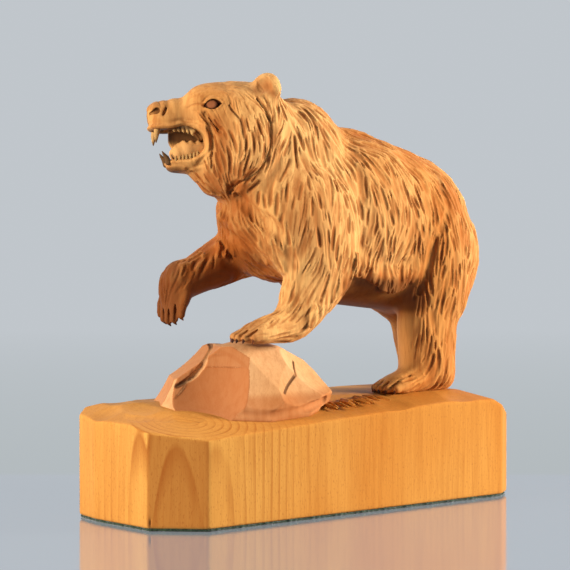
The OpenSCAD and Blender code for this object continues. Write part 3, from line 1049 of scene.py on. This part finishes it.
def make_plinth():
    volume = node_volume("plinth", PLINTH_STEP, 5)
    volume.field = blur(volume.field, 1.0)
    # broad cuts over the sloping end, and the hollow that runs round the boulder's foot
    for x, y, z, radius, depth in [
            (-126, 32, 73, 55, 1.6), (-141, 22, 67, 45, 1.4), (-126, 8, 71, 50, 1.8),
            (-138, -4, 67, 40, 1.5), (-122, -10, 67, 38, 1.8), (-108, -18, 67, 34, 2.0),
            (-118, 40, 74, 60, 1.5), (-100, 46, 72, 60, 1.6), (142, -20, 66, 60, 1.4),
            (136, 20, 68, 60, 1.4), (60, 50, 72, 70, 1.6), (20, 52, 72, 70, 1.6), (-30, 50, 73, 70, 1.6),
            (100, 48, 71, 60, 1.4), (40, -52, 68, 80, 1.2), (100, -52, 67, 80, 1.0)]:
        scoop(volume, (x, y, z), radius, depth)
    foot = smooth_path([(-101, -14, 72), (-92, -27, 70), (-80, -40, 68), (-62, -50, 67), (-40, -52, 69),
                        (-18, -46, 71), (-4, -34, 73)])
    stroke(volume, [p + (0, 0, 7) for p in foot], 9, 2.5, False)
    # a tuft of grass, cut with single strokes of a V tool
    pick = np.random.default_rng(8)
    for k in range(11):
        x = -8 + 4.4 * k
        y = -40 + 4 * math.sin(k * 1.7)
        z = float(np.interp(x, [-10, 35], [67.6, 71.2]))
        lean = pick.uniform(-3, 3)
        root, tip = np.array([x + lean, y + 8, z + 1.9]), np.array([x, y - 7, z + 0.4])
        stroke(volume, [root, (root + tip) / 2 + (0, 0, 0.9), tip], [1.5, 1.3, 0.8], 0.4, True)
        stroke(volume, [root + (2.2, -2, -0.6), tip + (2.2, 0, 1.2)], [1.0, 1.1], 0.3, False)
    # a crack near the foot of the sawn corner, and a nick at the rim
    crack = [(-148.5, -32.6, 10), (-148.3, -33.4, 6), (-148.6, -33.0, 1)]
    stroke(volume, crack, [0.2, 0.6, 0.4], 0.2, False)
    stroke(volume, [(-150.5, 8, 66), (-149, 2, 60)], [1.2, 0.4], 0.3, False)
    mesh, points = skin_mesh("plinth", volume)
    # painted shade inside the crack, darker along its line
    from_crack = np.linalg.norm((points - (-148.4, -33, 5)) * (1, 1, 0.2), axis=1)
    mark(mesh, "stain_and_shade", 0.8 * bump(from_crack, 0.8))
    # the sawn corner shows the heart, a real darker tone, and the carved top, which faces up and gets less
    # light than the sawn sides, is given painted shade
    out = normals_at(volume, volume.field, points)
    corner = ramp(-out[:, 0] * 0.7 - out[:, 1] * 0.7, 0.86, 0.97)
    mark(mesh, "hollow", np.maximum(corner, 0.55 * ramp(out[:, 2], 0.3, 0.8)))
    put("plinth", mesh, PLINTH_WOOD)


def make_felt():
    volume = node_volume("plinth_felt", FELT_STEP, 4, 2)
    wave = 0.35 * np.sin(volume.x * 0.31) * np.sin(volume.y * 0.37 + 1)
    wave = wave + 0.2 * np.sin(volume.x * 1.3 + volume.y)
    volume.field = volume.field + wave * ramp(volume.z, 0.2, 1.0)
    volume.field = np.maximum(volume.field, -volume.z)
    put("plinth_felt", skin_mesh("plinth_felt", volume)[0], FELT)


def make_boulder():
    volume = node_volume("boulder", BOULDER_STEP, 6)
    volume.field = blur(volume.field, 1.0) - 0.6
    # broad faces left by the chisel: place, radius of the sweep, depth
    balls = []
    for place, radius, depth in [
            ((-67, -24, 108), 60, 1.4), ((-78, -28, 93), 46, 2.0), ((-91, -10, 85), 30, 2.4),
            ((-64, -43, 81), 34, 2.6), ((-54, -38, 94), 42, 2.0), ((-33, -45, 84), 30, 2.4),
            ((-25, -34, 98), 40, 2.0), ((-44, -46, 76), 26, 2.2), ((-88, 11, 97), 60, 2.2),
            ((-101, 20, 84), 50, 2.0), ((-96, -6, 82), 24, 1.6), ((-20, -30, 82), 30, 2.2),
            ((-10, -8, 84), 40, 2.4), ((-12, 10, 86), 40, 2.4), ((-30, 22, 92), 40, 2.2),
            ((-52, 28, 88), 44, 2.4), ((-72, 30, 86), 40, 2.2), ((-40, 0, 109), 60, 1.2),
            ((-86, -22, 76), 20, 1.8)]:
        across = place[0] * math.cos(YAW) - place[1] * math.sin(YAW)
        balls.append((*scoop(volume, place, radius * 2.5, depth * 1.3, 0.05), across))
    slab = smooth_path([(-71, 12, 112), (-75, 5, 108), (-80, 1, 103), (-85, -1, 98.5), (-92, -2, 93),
                        (-98, 1, 88), (-102, 6, 84)])
    slab = onto(volume, np.array(slab) + (2.4, -2.1, 0))
    stroke(volume, slab, widths(slab, [0, 0.3, 0.8, 1], [1.2, 2.3, 1.8, 0.7]), 0.3, False)
    split = smooth_path([(-22, -28, 102), (-29, -36, 95.5), (-36, -41, 91), (-43, -44, 86.5), (-49, -47, 82)])
    split = onto(volume, split)
    stroke(volume, split, widths(split, [0, 0.3, 1], [0.8, 1.2, 0.3]), 0.2, False)
    rim = smooth_path([(-99, -11, 73), (-91, -23, 71), (-84, -36, 69), (-66, -47, 67), (-41, -49, 69),
                       (-12, -40, 73)])
    stroke(volume, [p + (0, -1, 0) for p in rim], 3.2, 1.0, False)
    mesh, points = skin_mesh("boulder", volume)
    gap = np.full(len(points), 9.0)
    for path, wide in ((slab, 1.6), (split, 1.0)):
        for a, b in zip(path[:-1], path[1:]):
            t = np.clip((points - a) @ (b - a) / ((b - a) @ (b - a)), 0, 1)
            gap = np.minimum(gap, np.linalg.norm(points - a - t[:, None] * (b - a), axis=1) / wide)
    # painted shadow in the slab's slit and in the split
    mark(mesh, "stain_and_shade", 0.75 * (1 - ramp(gap, 0.9, 1.25)))
    # each face gets a random tone, and the faces on the left, turned away from the key light, get painted
    # shade
    pick = np.random.default_rng(14)
    shade = np.full(len(points), 0.5)
    for centre, radius, across in balls:
        off = np.abs(np.linalg.norm(points - centre, axis=1) - radius)
        painted_shade_on_left = 1.1 if across < -36 else 0.0
        shade = np.where(off < 0.3, pick.uniform(0.0, 0.5) + painted_shade_on_left, shade)
    # painted shade on the undercut foot at the front
    foot = ramp(84 - points[:, 2], 0, 8) * ramp(-20 - points[:, 1], 0, 8)
    mark(mesh, "hollow", np.maximum(shade, 1.3 * foot))
    put("boulder", mesh, BOULDER_WOOD)


# --- Teeth, tongue, nose, eyes and claws -----------------------------------------------------

def trim_volume(node, margin):
    low, high = box_mm(node)
    return Volume(low - margin, high + margin, TRIM_STEP)


def make_head_trim(name, form, material, stain_and_shade, margin=4):
    """A small part of the head. form, and the function of its stain and painted shade, take places in the
    head's frame.
    """
    volume = trim_volume(name, margin)
    volume.field = form(head_axes(volume))
    mesh, points = skin_mesh(name, volume)
    mark(mesh, "stain_and_shade", stain_and_shade(in_head(points)))
    put(name, mesh, material)


def upper_teeth(p):
    canine = [(57.2, 5.6, -0.5), (57.8, 6.0, -4.7), (58.1, 6.0, -8.0), (58.2, 5.9, -10.4)]
    d = rod(p, canine, [2.0, 1.8, 1.05, 0.3])
    for k in range(5):
        a, s = 46.6 - 2.9 * k, 8.0 + 0.5 * k
        u = float(np.interp(a, [33, 36, 39, 45, 48], [-5.6, -3.6, -2.4, -1.4, -1.6]))
        tooth = rod(p, [(a + 0.3, s, u + 2.0), (a, s, u - 0.7), (a - 0.3, s, u - 2.3)], [1.4, 1.15, 0.25])
        d = np.minimum(d, tooth)
    gum = [(55.8, 0, -0.6), (54.6, 5.4, -0.8), (48, 7.8, 0.4), (40, 9.2, -0.2), (34, 10.4, -3.4)]
    return smin(d, rod(p, gum, [1.2] * 5), 0.4)


def upper_teeth_tips_and_shade(p):
    ahead, _, up = p
    # the canine's tip is darker in its own tone, and painted shade lies along the teeth's roots under the
    # upper lip
    tip = ramp(-up, 6.5, 10.0) * ramp(ahead, 53, 55) * 0.8
    return np.maximum(tip, 0.75 * ramp(up, -3.6, -1.8) * ramp(54 - ahead, 0, 2))


def lower_teeth(p):
    canine = [(50.4, 5.0, -23), (51.6, 5.2, -20), (53.2, 5.3, -17.9), (54.4, 5.3, -15.9)]
    d = rod(p, canine, [2.1, 1.6, 1.0, 0.3])
    for k in range(7):
        a, s = 45.8 - 2.3 * k, 7.6 + 0.48 * k
        u = float(np.interp(a, [31, 38, 46], [-17.8, -19.8, -21.0]))
        tooth = rod(p, [(a, s, u - 1.8), (a, s, u + 0.2), (a - 0.1, s, u + 1.2)], [1.0, 0.95, 0.6])
        d = np.minimum(d, tooth)
    return np.minimum(d, rod(p, [(50.2, 0, -22.2), (49.6, 4.4, -22.2)], [1.0, 1.0]))


def tongue(p):
    ahead, side, up = p
    top = -8.6 + 0.5 * np.sin(ahead * 1.3) - 0.03 * side * side - 0.10 * np.maximum(ahead - 41, 0) ** 2
    d = rod(p, [(25, 0, -14), (36, 0, -14), (42.5, 0, -16.5)], [7.8, 8.6, 6.4])
    d = smax(d, up - top, 1.5)
    d = smax(d, -21.5 - up, 1.0)
    return d + 0.7 * bump(side, 0.9) * ramp(up, -14, -12)


def nose_pad(p):
    d = rod(p, [(56.0, 0, 12.6), (56.0, 3.2, 12.2)], [5.0, 4.5])
    d = smin(d, rod(p, [(59.2, 0, 11.6), (57.6, 3.6, 11.2)], [3.7, 3.2]), 2)
    d = smin(d, rod(p, [(55.2, 5.8, 11.4), (54.2, 5.0, 12.6)], [2.6, 2.4]), 1.5)
    d = smax(d, -rod(p, NOSTRIL, [1.0, 2.2]), 0.5)
    return smax(d, -rod(p, [(64, 0, 14), (63.2, 0, 6)], [0.5, 0.9]), 0.4)


def eye(p):
    """A ball cut flat, level with the skin."""
    ahead, side, up = p
    d = egg(p, (23.5, eye_side - 2.6, 12.0), (4.0, 4.4, 3.15))
    lean = EYE_LEAN[0] * (ahead - 23.5) + EYE_LEAN[1] * (up - 12.0)
    return smax(d, side - (eye_side + 0.1 + lean), 1.4)


def eye_edge_darkening(p):
    ahead, _, up = p
    return ramp(np.hypot((ahead - 23.5) / 4.0, (up - 12.0) / 3.15), 0.8, 0.95) * 0.9


def make_claws(leg):
    name = PAWS[leg][0]
    volume = trim_volume(name, 5)
    claws = []
    for toe in TOES:
        points = [toe_point(leg, toe, *at) for at in ((-2.5, 1.6), (1.5, 1.5), (3.6, -0.6), (4.4, -2.6))]
        claws.append(rod((volume.x, volume.y, volume.z), points, [1.3, 1.75, 1.2, 0.45]))
    volume.field = np.minimum.reduce(claws)
    if leg != "right_foreleg":
        # the claws of a paw that stands are level with the ground
        volume.field = smax(volume.field, box_mm(name)[0][2] - volume.z, 0.3)
    mesh, points = skin_mesh(name, volume)
    middle, forward, _, _ = toe_axes(leg)
    mark(mesh, "stain_and_shade", ramp((points - middle) @ forward, 0.5, 4) * 0.8)
    put(name, mesh, CLAW)


def skin_side(ahead, up):
    """How far out the head's skin lies at a place seen from the side."""
    side = np.arange(8, 26, 0.05)
    p = (np.full_like(side, ahead), side, np.full_like(side, up))
    return float(side[np.argmin(np.abs(head_form(p)))])


eye_side = skin_side(23.5, 12.0)
# how fast the skin moves out there, towards the nose and towards the crown
EYE_LEAN = ((skin_side(26.5, 12.0) - skin_side(20.5, 12.0)) / 6,
            (skin_side(23.5, 14.5) - skin_side(23.5, 9.5)) / 5)


seeds = scatter(24000, 1.3, shape_volume, shape)
rng.shuffle(seeds)


def face_part(points):
    """1 on the face, 0 on the body."""
    ahead, side, up = in_head(points)
    return ramp(ahead, -14, -8) * ramp(up, -44, -36) * ramp(34 - side, 0, 3)


def bare_part(points):
    """How much of the hair is left out: 1 where the wood is smooth."""
    ahead, side, up = in_head(points)
    snout = ramp(ahead, 30, 40) * ramp(up, -45, -40)
    snout = np.maximum(snout, bump(np.hypot(ahead - 23, up - 12), 9) * face_part(points))
    snout = np.maximum(snout, face_part(points) * ramp(up, 16, 22) * 0.45)
    x, y, z = points.T
    belly = ramp(x, -10, 0) * ramp(84 - x, 0, 8) * ramp(36 - np.abs(y), 0, 4) * ramp(160 - z, 0, 10)
    reach = ramp(-z + 163 + (x + 60) * 0.5, 0, 4) * ramp(y, 8, 14) * ramp(-42 - x, 0, 6) * ramp(26 - y, 0, 4)
    thigh = ramp(110 - x, 0, 5) * ramp(x, 60, 70) * ramp(y, -20, -14)
    thigh = thigh * ramp(18 - y, 0, 4) * ramp(160 - z, 0, 5)
    ears = 0.85 * ramp(up, 24, 27) * ramp(side, 10, 13) * ramp(ahead, -26, -22)
    out = np.maximum.reduce([snout, belly, reach, thigh * 0.8, ears])
    for leg in PAWS:
        middle, forward, _, _ = toe_axes(leg)
        q = points - middle
        out = np.maximum(out, ramp(q @ forward, -12, -7) * ramp(24 - np.linalg.norm(q, axis=1), 0, 4))
    return out


def most(part, paths):
    """The greatest value of a part along each path."""
    return part(paths.reshape(-1, 3)).reshape(paths.shape[:2]).max(axis=1)


def rule_hair(lengths, spacing, radius, depth, shortest, wander):
    """Paths and radii of the grooves of one size of tool, each range given as its two ends."""
    order = seeds[rng.permutation(len(seeds))]
    face = face_part(order)
    paths = comb(order, rng.uniform(*lengths, len(order)) * (1 - 0.35 * face),
                 rng.normal(0, wander, len(order)),
                 rng.uniform(*spacing, len(order)) * (1 - 0.2 * face), shortest)
    face, bare = face_part(paths[:, 3]), bare_part(paths[:, 3])
    face = face * ramp(in_head(paths[:, 3])[2], -6, 10)
    size = rng.uniform(*radius, len(paths)) * (1 - 0.25 * face)
    deep = rng.uniform(*depth, len(paths)) * (1.1 - 0.55 * face) * (1 - bare)
    keep = (deep > 0.15) & (most(mouth_part, paths) < 0.5)
    paths = lifted(paths[keep], deep[keep], size[keep])
    size = np.repeat(size[keep][:, None], paths.shape[1], axis=1)
    size[:, [0, -1]] *= 0.6
    return paths, size


tools = [rule_hair((20, 40), (2.0, 2.9), (1.3, 1.9), (0.75, 1.35), 11.0, 0.1),
         rule_hair((14, 32), (1.2, 1.8), (0.6, 0.9), (0.45, 1.05), 7.5, 0.12)]
hairs = np.concatenate([paths for paths, size in tools])
radii = np.concatenate([size for paths, size in tools])
note(f"{len(hairs)} hairs")

# Broad locks, as a hollow depth on the coarse volume
LOCK_SEEDS = 3000
locks = comb(seeds[rng.permutation(len(seeds))[:LOCK_SEEDS]], rng.uniform(22, 38, LOCK_SEEDS),
             rng.normal(0, 0.1, LOCK_SEEDS), np.full(LOCK_SEEDS, 4.6), 12.0)
lock_r = rng.uniform(3.6, 5.5, len(locks))
deep = rng.uniform(0.7, 1.5, len(locks)) * (1 - 0.6 * face_part(locks[:, 3])) * (1 - bare_part(locks[:, 3]))
keep = (deep > 0.25) & (most(mouth_part, locks) < 0.5) & (most(bare_part, locks) < 0.9)
locks, lock_r, deep = locks[keep], lock_r[keep], deep[keep]
locks = lifted(locks, deep, lock_r)
locked = Volume(*coarse.corners(), COARSE)
locked.field = shape.copy()
cut_hair(locked, locks, np.repeat(lock_r[:, None], locks.shape[1], axis=1))
hollows = blur(locked.field - shape, 0.6)
note(f"{len(locks)} locks")


def carve(name, volume):
    """Fills the volume with a piece, and gives the field before its hair and the locks' depth."""
    bear_form(volume)
    hollow = volume.spread(coarse, hollows)
    volume.field += hollow
    smooth = volume.field.copy()
    cut_hair(volume, hairs, radii)
    ground = seam_of(name, volume)
    volume.field = np.maximum(volume.field + 0.12 * ramp(ground, 0, 0.6), ground - 0.7)
    return smooth, hollow


def haunch_gap(points):
    """How far a point is from the crease in front of the haunch."""
    x, y, z = points.T
    return rod((x, -np.abs(y), z), HAUNCH_CREASE, [0] * len(HAUNCH_CREASE))


def body_shade(points):
    """Painted shade under the belly, under the raised foreleg, between the legs, and on the back, the thighs
    and the shoulders, where less light falls.
    """
    x, y, z = points.T
    belly = ramp(162 - z, 0, 14) * ramp(z - 120, 0, 12) * ramp(x, -8, 4) * ramp(86 - x, 0, 8)
    chest = bump(rod((x, y, z), [(-58, -5, 202), (-52, -28, 186), (-40, -36, 168)], [0, 0, 0]), 6)
    down = ramp(0.35 - normals_at(shape_volume, calm, points, 2.4)[:, 2], 0, 0.5)
    raised = ramp(190 - z, 0, 24) * ramp(-30 - x, 0, 10) * ramp(y, -24, -12) * (0.12 + 0.88 * down)
    inner = ramp(20 - np.abs(y), 0, 6) * ramp(172 - z, 0, 16)
    q = (x, -np.abs(y), z)
    back = bump(rod(q, [(-25, 0, 266), (5, 0, 264), (50, 0, 250), (100, 0, 238)], [0] * 4), 24)
    thigh = bump(rod(q, [(108, -38, 212), (112, -42, 190)], [0, 0]), 15)
    shoulder = bump(rod(q, [(-34, -44, 196), (-24, -47, 178)], [0, 0]), 13)
    return np.maximum.reduce([1.2 * belly, 0.3 * chest, 1.1 * raised, 0.9 * inner, 0.65 * back,
                              0.7 * thigh, 0.7 * shoulder])


for name in BEAR:
    low, high = box_mm(name)
    on_head = name in ("head", "lower_jaw", "left_ear", "right_ear")
    volume = Volume(low - 7, high + 7, FACE_STEP if on_head else BODY_STEP)
    smooth, hollow = carve(name, volume)
    mesh, points = skin_mesh(name, volume)
    # how deep each point lies below the uncut surface: the material darkens the grooves by it, partly as
    # patina and partly as painted shade
    mark(mesh, "cut", -sample(volume, smooth, points))
    shade, cheek = body_shade(points), cheek_shade(points)
    # hollow mark: the locks' hollows, partly patina and partly painted shade, and painted shade on the
    # cheeks, in the ears, under the jaw and over the body
    mark(mesh, "hollow", sample(volume, hollow, points) + 1.2 * cheek + shade)
    # stain mark: painted shade in the face's creases and openings, on the cheeks, in the haunch's crease and
    # under the body
    crease = 0.6 * bump(haunch_gap(points), 2.2)
    painted_shades = [face_painted_shade(points), 0.2 * cheek, crease, 0.55 * ramp(shade, 0.7, 1.25)]
    mark(mesh, "stain_and_shade", np.maximum.reduce(painted_shades))
    put(name, mesh, CARVED)

make_plinth()
make_felt()
make_boulder()
make_head_trim("upper_teeth", upper_teeth, TOOTH, upper_teeth_tips_and_shade)
make_head_trim("lower_teeth", lower_teeth, TOOTH, lambda p: 0.25 + 0.6 * ramp(p[0], 48.5, 50.5))
# the tongue gets painted shade towards the back of the mouth
make_head_trim("tongue", tongue, TONGUE, lambda p: 0.6 * ramp(30 - p[0], 0, 6))
make_head_trim("nose_pad", nose_pad, NOSE, nostril_painted_shadow)
make_head_trim("left_eye", eye, EYE, eye_edge_darkening, 3)
make_head_trim("right_eye", eye, EYE, eye_edge_darkening, 3)
for leg in PAWS:
    make_claws(leg)


# --- Floor, backdrop, lights and camera ------------------------------------------------------

LENS = 126.3                       # focal length on a sensor 36 mm wide
TARGET = np.array([-0.0066, 0.0058, 0.1473])
DISTANCE = 1.336                   # from the camera to TARGET
LOOK = np.array([math.sin(YAW) * math.cos(PITCH), math.cos(YAW) * math.cos(PITCH), -math.sin(PITCH)])
camera_data = bpy.data.cameras.new("camera")
camera_data.lens = LENS
camera_data.sensor_width = 36
camera = bpy.data.objects.new("camera", camera_data)
camera.location = TARGET - LOOK * DISTANCE
camera.rotation_euler = (math.pi / 2 - PITCH, 0, -YAW)
bpy.context.scene.collection.objects.link(camera)
bpy.context.scene.camera = camera

BACKDROP = (0.53, 0.565, 0.60, 1)     # the backdrop's colour, linear
ROOM = (0.12, 0.125, 0.13, 1)         # what the rest of the room gives
FAR_FLOOR = (0.455, 0.495, 0.515, 1)  # the floor's colour just behind the glossy table
TABLE_EDGE = 0.16                     # how far behind the plinth's middle the glossy table ends

world = bpy.data.worlds.new("studio")
bpy.context.scene.world = world
world.use_nodes = True
n = Nodes(world.node_tree)
way = n.add("TexCoord").outputs["Generated"]
# the backdrop glows behind the bear, and a weaker band of light runs all round near the floor
band = n.ranged(n.height(way), 0.3, 0.05, 0.0, 0.45)
glowing = n.math("MAXIMUM", n.away(way, 0.35), band)
n.feed(n.steps(glowing, [(0.1, ROOM), (0.95, BACKDROP)]), n.tree.nodes["Background"].inputs["Color"])

floor_mesh = bpy.data.meshes.new("floor")
floor_mesh.from_pydata([(-6, -6, 0), (6, -6, 0), (6, 6, 0), (-6, 6, 0)], [], [(0, 1, 2, 3)])
floor = bpy.data.objects.new("floor", floor_mesh)
bpy.context.scene.collection.objects.link(floor)
paper = bpy.data.materials.new("floor")
paper.use_nodes = True
n = Nodes(paper.node_tree)
n.tree.nodes.remove(n.tree.nodes["Principled BSDF"])
matt = n.add("BsdfDiffuse", {"Color": (0.05, 0.05, 0.055, 1)})
glow = n.add("Emission", {"Color": (0.34, 0.37, 0.40, 1)})
cloth = n.add("AddShader", {0: matt.outputs[0], 1: glow.outputs[0]})
gloss = n.add("BsdfGlossy", {"Roughness": 0.09, "Color": (0.95, 0.97, 1, 1)})
table = n.add("MixShader", {0: 0.58, 1: cloth.outputs[0], 2: gloss.outputs[0]})
behind = n.away(n.add("TexCoord").outputs["Object"])
haze = n.steps(n.ranged(behind, TABLE_EDGE, 2.5), [(0.0, FAR_FLOOR), (1.0, BACKDROP)])
far = n.add("Emission", {"Color": haze})
edge = n.ranged(behind, TABLE_EDGE, TABLE_EDGE + 0.02)
whole = n.add("MixShader", {0: edge, 1: table.outputs[0], 2: far.outputs[0]})
n.feed(whole.outputs[0], n.tree.nodes["Material Output"].inputs["Surface"])
floor_mesh.materials.append(paper)


def soft_light(name, place, size, energy, colour):
    light = bpy.data.lights.new(name, "AREA")
    light.energy = energy
    light.size = size
    light.color = colour
    holder = bpy.data.objects.new(name, light)
    holder.location = place
    holder.visible_glossy = False      # so that the glossy table doesn't show the lamps
    towards = Vector((0, 0, 0.15)) - holder.location
    holder.rotation_euler = towards.to_track_quat("-Z", "Y").to_euler()
    bpy.context.scene.collection.objects.link(holder)


soft_light("left", (-1.6, 0.2, 0.5), 0.5, 46, (1.0, 0.95, 0.86))
soft_light("front right", (1.3, -1.2, 0.6), 0.5, 80, (1.0, 0.97, 0.91))
soft_light("above", (-0.3, 0.3, 1.6), 0.8, 5, (0.97, 0.98, 1.0))
bpy.context.scene.view_settings.view_transform = "Standard"
